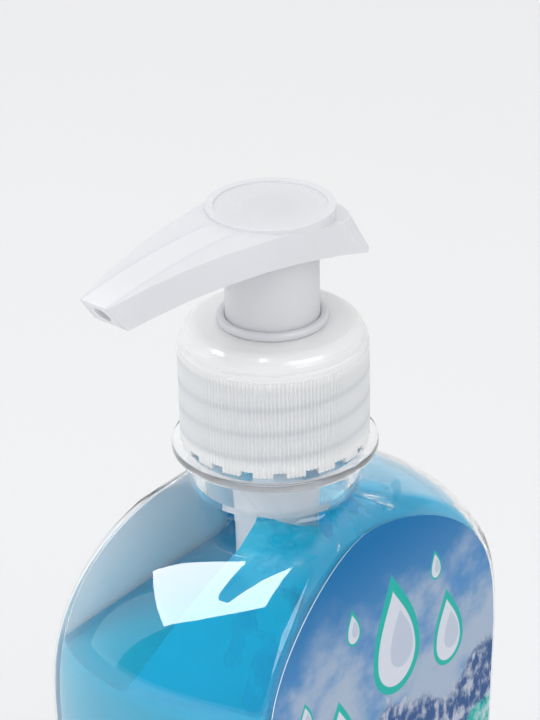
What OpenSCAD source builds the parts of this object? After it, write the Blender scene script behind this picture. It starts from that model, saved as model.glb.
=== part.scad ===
// Clear 300 ml pump bottle of liquid soap, standing on its base with the pump head raised.
// Origin at the centre of the base, +Z up, front label towards -Y, nozzle close to -X.

/* [Bottle body] */
// Height of the body from the table to the root of the neck
body_h = 120.5; // [110:0.5:135]
// Half of the greatest width, across the bulge of the side bands
side_half_w = 38.3; // [34:0.1:42]
// Half of the greatest distance between the two ridges of the front panel
panel_half_w = 32.5; // [27:0.1:34]
// Half of the greatest depth, from the middle to the front panel
half_depth = 21.8; // [20:0.1:26]
// Wall of the bottle
wall = 0.9; // [0.6:0.1:1.4]
// How far the sides draw in from the bulge to the base
side_taper = 5.5; // [0:0.1:8]
// Radius of the bottom edge
base_round = 5; // [3:0.5:8]
// Height of the recess under the base
base_recess = 1.6; // [1:0.1:3]

/* [Neck and closure] */
// Outer radius of the plain neck below the support ring
neck_r = 13.5; // [12.8:0.1:14]
// Height of the plain neck below the support ring
neck_h = 6.2; // [5:0.1:9]
// Radius of the support ring
ring_r = 16.5; // [16:0.1:18]
// Thickness of the support ring
ring_t = 1.5; // [1.2:0.1:2.4]
// Height of the neck finish above the support ring
finish_h = 14.6; // [13.6:0.1:17]
// Outer radius of the neck finish between its threads
finish_r = 12.55; // [12.3:0.05:12.7]
// Radius of the neck's bore
neck_bore_r = 10.95; // [10.7:0.05:11.3]
// Outer radius of the closure over its ribs
cap_r = 15.12; // [15:0.02:16]
// Wall of the closure, ribs included
cap_wall = 1.15; // [1:0.05:1.5]
// Thickness of the closure's top
cap_top_t = 1.5; // [1.2:0.1:2.2]
// Number of ribs round the closure
rib_n = 150; // [100:2:180]
// Depth of a rib
rib_d = 0.28; // [0.2:0.02:0.4]
// Number of teeth on the closure's lower edge
tooth_n = 18; // [12:1:24]
// Height of a tooth
tooth_h = 0.9; // [0.5:0.1:1.6]

/* [Pump] */
// Stroke of the head, from raised to pressed down
stroke = 10; // [8:0.5:10.5]
// Inner radius of the pump barrel
barrel_r = 5.6; // [5:0.1:6.2]
// Length of the barrel bore below the chaplet
barrel_l = 28.4; // [27:0.2:34]
// Wall of the barrel and of the other thin pump mouldings
pump_wall = 1.1; // [0.9:0.05:1.4]
// Outer radius of the stem
stem_r = 3; // [2.7:0.1:3.3]
// Outer radius of the chaplet's tube
chaplet_r = 8.4; // [8.3:0.05:8.8]
// Bore of the chaplet, which guides the head's sleeve
chaplet_bore_r = 7.5; // [7.3:0.05:7.6]
// Radius of the chaplet's lip on top of the closure
lip_r = 8.8; // [8.7:0.05:9.4]
// Radius of the inlet ball
inlet_ball_r = 2.2; // [2:0.1:2.4]
// Radius of the outlet ball
outlet_ball_r = 1.35; // [1.3:0.05:1.45]
// Lift of both valve balls
ball_lift = 1.5; // [1:0.1:1.8]
// Outer radius of the dip tube
dip_r = 2.9; // [2.5:0.1:3.1]
// Wall of the dip tube
dip_wall = 0.6; // [0.5:0.05:0.8]
// Turns of the return spring
spring_turns = 7; // [5:1:8]
// Radius of the spring wire
wire_r = 0.45; // [0.35:0.05:0.5]

/* [Head] */
// Height of the thumb disc's top above the closure skirt's upper edge
head_top = 23.3; // [22:0.1:25]
// Radius of the thumb disc
disc_r = 10.1; // [9:0.1:10.6]
// Reach of the nozzle from the pump axis
reach = 38.3; // [34:0.1:42]
// Half width of the head across the pump axis
arm_half_w = 10.2; // [9.8:0.1:11]
// Half width of the nozzle at its tip
tip_half_w = 2.8; // [2.5:0.1:3.4]
// Height of the head's side wall
side_h = 5.1; // [4.5:0.1:5.6]
// Wall of the head
head_wall = 1.2; // [1:0.05:1.5]
// Angle that the nozzle is turned from -X at rest, as in the photograph
nozzle_turn = -4.9; // [-180:0.1:180]
// Outer radius of the nozzle tube under the arm
spout_r = 2.3; // [2.1:0.05:2.5]
// Radius of the nozzle bore
spout_bore_r = 1.4; // [1.1:0.05:1.5]

/* [Contents and labels] */
// Drop of the liquid's level below the root of the neck
fill_drop = 23.5; // [12:0.5:70]
// Distance from the label's side edges to the ridges of the panel
label_margin = 1.3; // [1.2:0.1:6]
// Distance from the root of the neck down to the label's top
label_drop = 4.3; // [4:0.1:20]
// Height of the label's lower edge above the table
label_low = 13; // [8:1:40]
// Thickness of the label film
label_t = 0.15; // [0.1:0.05:0.3]

/* [Fits] */
// Radial clearance of a running fit
run_fit = 0.06; // [0.02:0.01:0.1]
// Clearance between pieces that only pass each other
gap = 0.3; // [0.2:0.05:0.4]
// Clearance between a film or a liquid and the bottle wall
skin_gap = 0.05; // [0.02:0.01:0.1]

/* [Hidden] */
$fn = 96;
eps = 0.01;

ring_z = body_h + neck_h;
fill_h = body_h - fill_drop;
ring_top = ring_z + ring_t;
finish_top = ring_top + finish_h;
cap_low = ring_top + gap;
gasket_t = 1.2;
flange_t = 1.6;
chaplet_flange_t = 1.4;
flange_z = finish_top + gasket_t;
chaplet_z = flange_z + flange_t;
cap_under = chaplet_z + chaplet_flange_t + gap;
cap_top = cap_under + cap_top_t;
dome_h = 3.8;
skirt_top = cap_top - dome_h;
lip_z = cap_top + gap;
lip_t = 1.1;
lip_top = lip_z + lip_t;
flange_over = 1.9;
flange_r = neck_bore_r + flange_over;

// Loft of the body. Each ring has the same number of points, so that rings join side by side.
front_n = 4;
ridge_n = 3;
side_n = 7;
quarter_n = front_n + ridge_n + side_n;
ring_n = 4 * quarter_n;
// Depths below the neck root where the side bands and the front panel begin to draw in.
bulge_z = body_h - 23.6;
ridge_z = body_h - 32.1;
ridge_fillet = 1.1;
ridge_fillet_share = 0.4;
least_bulge = 0.4;
// Exponents of the arches of the side bands, the panel and the label.
side_arch = [2.23, 0.66];
panel_arch = [2.5, 0.72];
label_arch = [2.5, 0.576];
// How far above the neck root the arches of the side bands and the panel would close.
side_over = 1;
panel_over = 0.5;
taper_power = 1.4;
panel_taper_share = 0.8;
depth_taper_share = 0.25;
// The panel rolls back into the neck, and leans back a little above the middle.
roll_back = 6.2;
roll_h = 4.5;
lean_back = 1.8;
lean_h = 35;

function clamp01(v) = max(0, min(1, v));
function smooth(v) = let(c = clamp01(v)) c * c * (3 - 2 * c);
function arch(z, mid, top, form) =
    z <= mid ? 1 : pow(max(0, 1 - pow((z - mid) / (top - mid), form[0])), form[1]);
function taper(z) = side_taper * pow(clamp01((bulge_z - z) / bulge_z), taper_power);
function side_w(z) = side_half_w * arch(z, bulge_z, body_h + side_over, side_arch) - taper(z);
function panel_w(z) =
    panel_half_w * arch(z, ridge_z, body_h + panel_over, panel_arch) - panel_taper_share * taper(z);
function depth(z) = let(d = body_h - z)
    half_depth - roll_back * exp(-d / roll_h) - lean_back * max(0, 1 - d / lean_h)
    - depth_taper_share * taper(z);

// Point k of a quarter section, from the middle of the front (0) to the middle of the side (quarter_n).
function quarter_point(k, w, h, d) =
    let(s = max(w - h, least_bulge), r = (d * d + s * s) / (2 * s), f = min(ridge_fillet, ridge_fillet_share * h),
        a1 = atan2(d, r - s) - f / r * 180 / PI,
        t = (k - front_n) / ridge_n, b = [w - r + r * cos(a1), r * sin(a1)],
        a = a1 * (1 - (k - front_n - ridge_n) / side_n))
    k < front_n ? [(w - s - f) * k / front_n, d]
    : t < 1 ? (1 - t) * (1 - t) * [w - s - f, d] + 2 * t * (1 - t) * [w - s, d] + t * t * b
    : [w - r + r * cos(a), r * sin(a)];

// Point i of a whole section, counted round from the middle of the front.
function section_point(i, w, h, d) =
    let(q = floor(i / quarter_n), m = i % quarter_n, p = quarter_point(q % 2 == 0 ? m : quarter_n - m, w, h, d))
    [q < 2 ? p[0] : -p[0], q == 0 || q == 3 ? -p[1] : p[1]];

// Rings of the loft: a body section drawn in by inset, a circle, and a blend of the two.
function body_ring(z, inset, at) =
    [for (i = [0 : ring_n - 1])
        let(p = section_point(i, side_w(z) - inset, panel_w(z) - inset * panel_w(z) / panel_half_w,
                              depth(z) - inset))
        [p[0], p[1], at]];
function circle_ring(r, z) =
    [for (i = [0 : ring_n - 1]) let(a = 360 * i / ring_n - 90) [r * cos(a), r * sin(a), z]];
function blend_ring(z, inset, r, t) =
    let(b = body_ring(z, inset, z), c = circle_ring(r, z))
    [for (i = [0 : ring_n - 1]) (1 - t) * b[i] + t * c[i]];

function total(ring, i = 0) = i == len(ring) ? [0, 0, 0] : ring[i] + total(ring, i + 1);
function centre(ring) = total(ring) / len(ring);

// The closed skin through a list of rings, with a fan at the first and the last.
module loft(rings) {
    m = len(rings);
    n = len(rings[0]);
    pts = concat([for (r = rings, p = r) p], [centre(rings[0]), centre(rings[m - 1])]);
    polyhedron(pts, concat(
        [for (j = [0 : m - 2], i = [0 : n - 1]) let(k = (i + 1) % n)
            [j * n + i, (j + 1) * n + i, (j + 1) * n + k]],
        [for (j = [0 : m - 2], i = [0 : n - 1]) let(k = (i + 1) % n)
            [j * n + i, (j + 1) * n + k, j * n + k]],
        [for (i = [0 : n - 1]) [m * n, i, (i + 1) % n]],
        [for (i = [0 : n - 1]) [m * n + 1, (m - 1) * n + (i + 1) % n, (m - 1) * n + i]]));
}

// Heights of the body's rings, closer together towards the shoulder.
body_rings = 18;
ring_crowding = 1.7;
function body_z(i) = base_round + (body_h - base_round) * (1 - pow(1 - i / body_rings, ring_crowding));
shoulder_blend = 3.5;
function neck_share(z) = smooth((z - body_h + shoulder_blend) / shoulder_blend);
stand_inset = 9;

// Rings of the bottom, from the middle of the recess out to the side, drawn in by skin.
function base_rings(skin) = concat(
    [body_ring(base_round, 17, base_recess + skin), body_ring(base_round, 12, base_recess * 0.8 + skin)],
    [body_ring(base_round, stand_inset, skin)],
    [for (a = [0 : 18 : 72]) let(r = base_round - skin)
        body_ring(base_round, skin + r * (1 - sin(a)), skin + r * (1 - cos(a)))]);
function backwards(list) = [for (i = [len(list) - 1 : -1 : 0]) list[i]];

// Blow-moulded shell with its neck and support ring, one skin outside and inside.
module bottle() {
    edge = 0.4;
    outer = [for (i = [0 : body_rings]) blend_ring(body_z(i), 0, neck_r, neck_share(body_z(i)))];
    inner = [for (i = [0 : body_rings]) blend_ring(body_z(i), wall, neck_bore_r, neck_share(body_z(i)))];
    neck = [circle_ring(neck_r, ring_z), circle_ring(ring_r - edge, ring_z), circle_ring(ring_r, ring_z + edge),
            circle_ring(ring_r, ring_top - edge), circle_ring(ring_r - edge, ring_top),
            circle_ring(finish_r, ring_top), circle_ring(finish_r, finish_top - edge),
            circle_ring(finish_r - edge, finish_top), circle_ring(neck_bore_r, finish_top)];
    color([0.85, 0.92, 0.95, 0.4])
        loft(concat(base_rings(0), outer, neck, backwards(inner), backwards(base_rings(wall))));
}

// Liquid up to its level, with a well for the pump barrel's foot and the dip tube.
module soap_fill() {
    skin = wall + skin_gap;
    least_step = 1;
    side = [for (i = [0 : body_rings]) if (body_z(i) < fill_h - least_step) body_ring(body_z(i), skin, body_z(i))];
    foot_z = barrel_low - pump_wall - gap;
    barrel_well = barrel_r + pump_wall + gap;
    socket_well = socket_r + gap;
    tube_well = dip_r + gap;
    over_foot = fill_h <= foot_z ? []
        : [circle_ring(barrel_well, fill_h), circle_ring(barrel_well, foot_z)];
    color([0.05, 0.62, 0.82])
        loft(concat(base_rings(skin), side, [body_ring(fill_h, skin, fill_h)], over_foot,
                    [circle_ring(socket_well, min(fill_h, foot_z)), circle_ring(socket_well, socket_low - gap),
                     circle_ring(tube_well, socket_low - gap), circle_ring(tube_well, dip_low - gap)]));
}

// Printed film with an arched top that follows the bend of the panel.
label_corner = 4;
label_tip = 0.15;
label_half_w = panel_half_w - label_margin;
label_top = body_h - max(label_drop, shoulder_blend);
function label_w(z) =
    let(c = clamp01((z - label_low) / label_corner))
    label_half_w * arch(z, ridge_z, label_top, label_arch) - panel_taper_share * taper(z)
    - label_corner * (1 - sqrt(1 - (1 - c) * (1 - c)));
function panel_y(z) = lookup(z, [for (i = [0 : body_rings]) [body_z(i), depth(body_z(i))]]);
module label(side) {
    straight = label_low + label_corner;
    end = label_top - label_tip;
    zs = concat([for (t = [0, 0.15, 0.45, 1]) label_low + label_corner * t],
                [for (i = [0 : 0.5 : body_rings]) if (body_z(i) > straight + label_tip && body_z(i) < end - label_tip)
                    body_z(i)],
                [end]);
    loft([for (z = zs) let(w = label_w(z), y = side * (panel_y(z) + skin_gap), t = side * label_t)
        [[-w * side, -y - t, z], [w * side, -y - t, z], [w * side, -y, z], [-w * side, -y, z]]]);
}
module front_label() color([0.35, 0.55, 0.78]) label(1);
module back_label() color([0.35, 0.55, 0.78]) label(-1);

// Screw closure: a ribbed skirt with a toothed lower edge under a smooth rounded shoulder.
module closure() {
    skirt_h = skirt_top - cap_low;
    step_in = 0.25;
    step_h = 0.9;
    shoulder_in = 0.7;
    shoulder_rise = 1.1;
    shoulder_r = cap_r - shoulder_in;
    round_r = 2.4;
    land = 0.8;
    top_in = finish_top - land;
    seat_r = flange_r + gap;
    notch_share = 0.4;
    notch_w = 2 * PI * cap_r / tooth_n * notch_share;
    over = 1;
    color([0.93, 0.95, 0.97]) difference() {
        union() {
            translate([0, 0, cap_low]) linear_extrude(skirt_h)
                polygon([for (i = [0 : 2 * rib_n - 1]) let(r = cap_r - (i % 2) * rib_d, a = 180 * i / rib_n)
                    [r * cos(a), r * sin(a)]]);
            translate([0, 0, skirt_top]) rotate_extrude() polygon(concat(
                [[0, -eps], [cap_r - step_in, -eps], [cap_r - step_in, step_h], [shoulder_r, shoulder_rise]],
                [for (a = [0 : 15 : 90])
                    [shoulder_r - round_r * (1 - cos(a)), dome_h - round_r * (1 - sin(a))]],
                [[0, dome_h]]));
        }
        translate([0, 0, cap_low - eps]) cylinder(r = cap_r - cap_wall, h = top_in - cap_low + eps);
        translate([0, 0, top_in - eps]) cylinder(r = seat_r, h = cap_under - top_in + eps);
        cylinder(r = chaplet_r + run_fit, h = cap_top + over);
        for (i = [0 : tooth_n - 1])
            rotate(360 / tooth_n * i)
                translate([cap_r - cap_wall - over, -notch_w / 2, cap_low - over])
                    cube([cap_wall + 2 * over, notch_w, over + tooth_h]);
    }
}

// Washer between the pump and the mouth of the bottle.
module gasket() color([0.9, 0.9, 0.88])
    translate([0, 0, finish_top]) difference() {
        cylinder(r = flange_r, h = gasket_t);
        translate([0, 0, -eps]) cylinder(r = cup_r + gasket_play, h = gasket_t + 2 * eps);
    }

// Heights down the pump, from the chaplet's lip to the foot of the barrel.
gasket_play = 0.1;
sleeve_engage = 6.3;
sleeve_low = lip_top - sleeve_engage;
end_play = 0.5;
web_t = 1.3;
mould_gap = 0.1;
web_top = sleeve_low - stroke - end_play;
web_low = web_top - web_t;
barrel_top = web_low - mould_gap;
barrel_low = barrel_top - barrel_l;
cup_in_r = chaplet_r + skin_gap;
cup_r = cup_in_r + pump_wall;
bead_h = 0.8;
seat_play = 0.04;
inlet_z = barrel_low - bead_h - ball_lift - seat_play - inlet_ball_r;
inlet_apex = inlet_z - (inlet_ball_r + seat_play) * sqrt(2);
port_r = 1.3;
chamber_play = 0.5;
chamber_r = inlet_ball_r + chamber_play;
port_h = 1;
socket_top = inlet_apex + port_r - port_h;
socket_depth = 10;
socket_low = socket_top - socket_depth;
socket_r = dip_r + pump_wall;
dip_clear = 2;
dip_low = base_recess + wall + dip_clear;
lip_edge = 0.3;
flange_edge = 0.4;
chamfer = 0.8;
tube_play = 0.02;
bead_in = 0.25;

// Guide ring snapped into the pump housing, with a lip over the closure and a web round the stem.
module chaplet() color([0.95, 0.96, 0.97]) rotate_extrude() polygon([
    [chaplet_bore_r, web_top], [chaplet_bore_r, lip_top - lip_edge], [chaplet_bore_r + lip_edge, lip_top],
    [lip_r - lip_edge, lip_top], [lip_r, lip_top - lip_edge], [lip_r, lip_z], [chaplet_r, lip_z],
    [chaplet_r, chaplet_z + chaplet_flange_t], [flange_r - flange_edge, chaplet_z + chaplet_flange_t],
    [flange_r - flange_edge, chaplet_z], [chaplet_r, chaplet_z], [chaplet_r, web_low],
    [stem_r + run_fit, web_low], [stem_r + run_fit, web_top]]);

// Pump housing: flange and cup in the neck, the barrel, the ball seat and the dip tube socket.
module pump_housing() color([0.9, 0.93, 0.95]) rotate_extrude() polygon([
    [cup_in_r, chaplet_z], [flange_r, chaplet_z], [flange_r, flange_z], [cup_r, flange_z],
    [cup_r, barrel_top - pump_wall + chamfer], [cup_r - chamfer, barrel_top - pump_wall],
    [barrel_r + pump_wall, barrel_top - pump_wall], [barrel_r + pump_wall, barrel_low - pump_wall + chamfer],
    [barrel_r + pump_wall - chamfer, barrel_low - pump_wall],
    [socket_r, barrel_low - pump_wall], [socket_r, socket_low], [dip_r + tube_play, socket_low],
    [dip_r + tube_play, socket_top], [port_r, socket_top], [port_r, inlet_apex + port_r],
    [chamber_r, inlet_apex + chamber_r], [chamber_r, barrel_low - bead_h],
    [inlet_ball_r - bead_in, barrel_low - bead_h], [inlet_ball_r - bead_in, barrel_low], [barrel_r, barrel_low],
    [barrel_r, barrel_top], [cup_in_r, barrel_top]]);

// Suction tube from the barrel's socket to the floor of the bottle, cut at a slant.
module dip_tube() color([0.92, 0.95, 0.96]) difference() {
    translate([0, 0, dip_low]) cylinder(r = dip_r, h = socket_top - dip_low);
    translate([0, 0, dip_low - 1]) cylinder(r = dip_r - dip_wall, h = socket_top - dip_low + 2);
    translate([-dip_r, -dip_r - 1, dip_low]) rotate([0, 45, 0])
        translate([-4 * dip_r, 0, -4 * dip_r]) cube([8 * dip_r, 2 * dip_r + 2, 4 * dip_r]);
}

// Ball of the suction valve on its cone.
module inlet_ball() color([0.75, 0.75, 0.78]) translate([0, 0, inlet_z]) sphere(r = inlet_ball_r);

// Cup seal that slides in the barrel and lets the stem turn in it.
piston_h = 5;
piston_top = barrel_top - mould_gap;
module piston_seal() color([0.96, 0.96, 0.94]) rotate_extrude() {
    r = barrel_r - run_fit;
    low = piston_top - piston_h;
    polygon([[stem_r + run_fit, low], [r - 1, low + 1], [r - 0.3, low], [r, low + 0.2], [r, low + 1.2],
             [r - 0.7, low + 1.8], [r - 0.7, piston_top - 1.2], [r, piston_top - 0.8],
             [r, piston_top - 0.2], [r - 0.2, piston_top], [stem_r + run_fit, piston_top]]);
}

// Hollow stem with a foot under the seal and the seat of the outlet valve near its top.
foot_top = piston_top - piston_h - mould_gap;
foot_t = 1.2;
foot_low = foot_top - foot_t;
foot_r = 4.8;
disc_top = skirt_top + head_top;
stem_drop = 9.3;
stem_top = disc_top - stem_drop;
ball_play = 0.4;
stem_bore_r = outlet_ball_r + ball_play;
cage_h = 2.4;
outlet_z = stem_top - cage_h - ball_lift - seat_play - outlet_ball_r;
outlet_apex = outlet_z - (outlet_ball_r + seat_play) * sqrt(2);
throat_r = 0.75;
throat_h = 0.6;
foot_bore_r = 1.5;
module stem() color([0.94, 0.95, 0.96]) rotate_extrude() polygon([
    [foot_bore_r, foot_low], [foot_r, foot_low], [foot_r, foot_top], [stem_r, foot_top], [stem_r, stem_top],
    [stem_bore_r, stem_top], [stem_bore_r, outlet_apex + stem_bore_r], [throat_r, outlet_apex + throat_r],
    [throat_r, outlet_apex - throat_h], [foot_bore_r, outlet_apex - throat_h - foot_bore_r + throat_r]]);

// Ball of the outlet valve on its cone in the stem.
module outlet_ball() color([0.75, 0.75, 0.78]) translate([0, 0, outlet_z]) sphere(r = outlet_ball_r);

// Plug in the stem's top that keeps the outlet ball in.
module ball_cage() color([0.9, 0.92, 0.94]) translate([0, 0, stem_top - cage_h]) difference() {
    cylinder(r = stem_bore_r - eps, h = cage_h);
    translate([0, 0, -1]) cylinder(r = throat_r, h = cage_h + 2);
}

// Return spring between the barrel's floor and the stem's foot, a round wire swept along a helix.
seat_w = 1.7;
module spring() {
    steps = 18;
    sides = 6;
    coil_r = (foot_r + inlet_ball_r + seat_w) / 2;
    low = barrel_low + wire_r;
    rise = foot_low - wire_r - low;
    n = steps * spring_turns;
    color([0.7, 0.71, 0.73]) loft([for (i = [0 : n])
        let(t = i / n, a = 360 * spring_turns * t, z = low + rise * t)
        [for (k = [0 : sides - 1]) let(b = -360 * k / sides, r = coil_r + wire_r * cos(b))
            [r * cos(a), r * sin(a), z + wire_r * sin(b)]]]);
}

// Outer form of the head, drawn in by skin: a wedge from above, arched from the side, with a conical back.
crest_x = -14;
crest_drop = 0.3;
crest_z = disc_top - crest_drop;
top_arc_r = 120;
low_arc_r = 110;
back_r = 11.3;
back_slope = 0.514;
back_level = 0.8;
tip_slant = 3.5;
head_back = 18;
head_clear = 40;
tip_wall_share = 3;
function crest(x) = crest_z - (x - crest_x) * (x - crest_x) / (2 * top_arc_r);
function under(x) = crest_z - side_h - (x - crest_x) * (x - crest_x) / (2 * low_arc_r);
function wedge_w(x) = arm_half_w + (arm_half_w - tip_half_w) / reach * x;
module head_form(skin, drop) {
    tip = -reach + skin * tip_wall_share;
    xs = [for (t = [0 : 0.125 : 1]) tip + (head_back - tip) * t];
    intersection() {
        translate([0, 0, skirt_top]) linear_extrude(head_clear)
            polygon([[tip - 1, -wedge_w(tip - 1) + skin], [head_back, -wedge_w(head_back) + skin],
                     [head_back, wedge_w(head_back) - skin], [tip - 1, wedge_w(tip - 1) - skin]]);
        rotate([90, 0, 0]) linear_extrude(head_clear, center = true)
            polygon(concat([for (x = xs) [x, crest(x) - skin]],
                           [for (i = [len(xs) - 1 : -1 : 0]) let(x = i == 0 ? tip + tip_slant : xs[i])
                               [x, under(x) - drop]]));
        union() {
            translate([0, 0, skirt_top])
                cylinder(r1 = back_r + (head_top - back_level) * back_slope - skin,
                         r2 = back_r - back_level * back_slope - skin, h = head_top);
            translate([-2 * head_clear, -head_clear, skirt_top]) cube([2 * head_clear, 2 * head_clear, head_clear]);
        }
    }
}

// Head: a thin open-bottomed shell with a thumb disc, the nozzle tube, the sleeve and the stem socket.
module actuator() {
    dish = 0.3;
    plate_low = disc_top - dish - head_wall;
    rim = 1.2;
    disc_x = 12;
    disc_sink = 0.6;
    root = 0.5;
    over = 4;
    spout_a = 4.2;
    spout_x = -reach + 2;
    spout_skin = 0.4;
    spout_z = crest(spout_x) - spout_r - spout_skin;
    spout_in = spout_z - spout_x * tan(spout_a);
    sleeve_r = chaplet_bore_r - run_fit;
    boss_wall = 1.3;
    boss_rise = 1.2;
    boss_r = stem_r + boss_wall;
    boss_low = sleeve_low + boss_rise;
    color([0.95, 0.96, 0.98]) rotate(nozzle_turn) difference() {
        union() {
            difference() {
                union() {
                    head_form(0, 0);
                    translate([0, 0, crest(disc_x) - disc_sink])
                        cylinder(r = disc_r, h = disc_top - crest(disc_x) + disc_sink);
                }
                head_form(head_wall, 2 * side_h);
                translate([0, 0, sleeve_low]) cylinder(r = disc_r - head_wall, h = plate_low - sleeve_low);
            }
            translate([0, 0, sleeve_low]) difference() {
                cylinder(r = sleeve_r, h = plate_low - sleeve_low + root);
                translate([0, 0, -1]) cylinder(r = sleeve_r - pump_wall, h = plate_low - sleeve_low + 1);
            }
            translate([0, 0, boss_low]) cylinder(r = boss_r, h = plate_low - boss_low + root);
            intersection() {
                head_form(0, 0);
                translate([0, 0, spout_in]) rotate([0, -90 - spout_a, 0]) cylinder(r = spout_r, h = reach + over);
            }
        }
        translate([0, 0, disc_top - dish]) cylinder(r = disc_r - rim, h = over);
        translate([0, 0, boss_low - 1]) cylinder(r = stem_r, h = stem_top - boss_low + 1);
        translate([0, 0, stem_top - 1]) cylinder(r = stem_bore_r - seat_play, h = spout_in - stem_top + 1);
        translate([0, 0, spout_in]) rotate([0, -90 - spout_a, 0]) cylinder(r = spout_bore_r, h = reach + 2 * over);
    }
}

bottle();
soap_fill();
front_label();
back_label();
closure();
gasket();
chaplet();
pump_housing();
dip_tube();
inlet_ball();
spring();
piston_seal();
stem();
outlet_ball();
ball_cage();
actuator();
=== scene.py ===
"""Looks of a clear pump bottle of blue liquid soap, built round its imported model.

Z is up from the table, the front label faces -Y and the nozzle points close to -X. Sizes are in millimetres
until a mesh is finished, when it is scaled to metres.
"""

import logging
import math
from dataclasses import dataclass
from enum import Enum
from typing import Callable, Iterable, Optional, Sequence, Union

import bmesh
import bpy
from mathutils import Matrix, Vector


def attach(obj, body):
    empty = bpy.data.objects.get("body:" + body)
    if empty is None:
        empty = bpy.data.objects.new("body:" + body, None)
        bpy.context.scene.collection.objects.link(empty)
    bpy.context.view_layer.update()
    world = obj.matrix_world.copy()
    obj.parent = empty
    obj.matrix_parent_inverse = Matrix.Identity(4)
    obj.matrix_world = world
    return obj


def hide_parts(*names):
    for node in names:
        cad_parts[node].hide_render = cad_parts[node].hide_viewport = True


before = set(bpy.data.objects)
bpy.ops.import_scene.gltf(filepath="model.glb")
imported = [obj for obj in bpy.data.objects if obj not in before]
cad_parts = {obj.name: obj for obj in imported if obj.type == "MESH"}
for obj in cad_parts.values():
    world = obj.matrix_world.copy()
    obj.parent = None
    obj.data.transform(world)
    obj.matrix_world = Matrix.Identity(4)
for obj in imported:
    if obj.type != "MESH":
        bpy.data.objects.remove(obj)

LOG = logging.getLogger("soap_bottle")
METRE = 0.001
TURN = 2 * math.pi
WELD = 0.002
FLAT_DEGREES = 0.5

Point = Sequence[float]
Number = Union[float, "Value"]


class Body(str, Enum):
    """Moving bodies that the new pieces ride on."""

    BOTTLE = "bottle_body"
    PUMP = "pump_body"
    CLOSURE = "closure_body"


class Slot(str, Enum):
    """Material slots of the new pieces."""

    SHELL = "clear_shell"
    LIQUID = "liquid"
    FILM = "label_film"
    MILKY = "milky_plastic"


def clamp(value: float, low: float = 0.0, high: float = 1.0) -> float:
    """Value held between low and high."""
    return max(low, min(high, value))


def smooth(value: float) -> float:
    """Smooth step from 0 to 1 as value goes from 0 to 1."""
    c = clamp(value)
    return c * c * (3 - 2 * c)


def mix(a: float, b: float, share: float) -> float:
    """Value a share of the way from a to b."""
    return a + (b - a) * share


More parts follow.
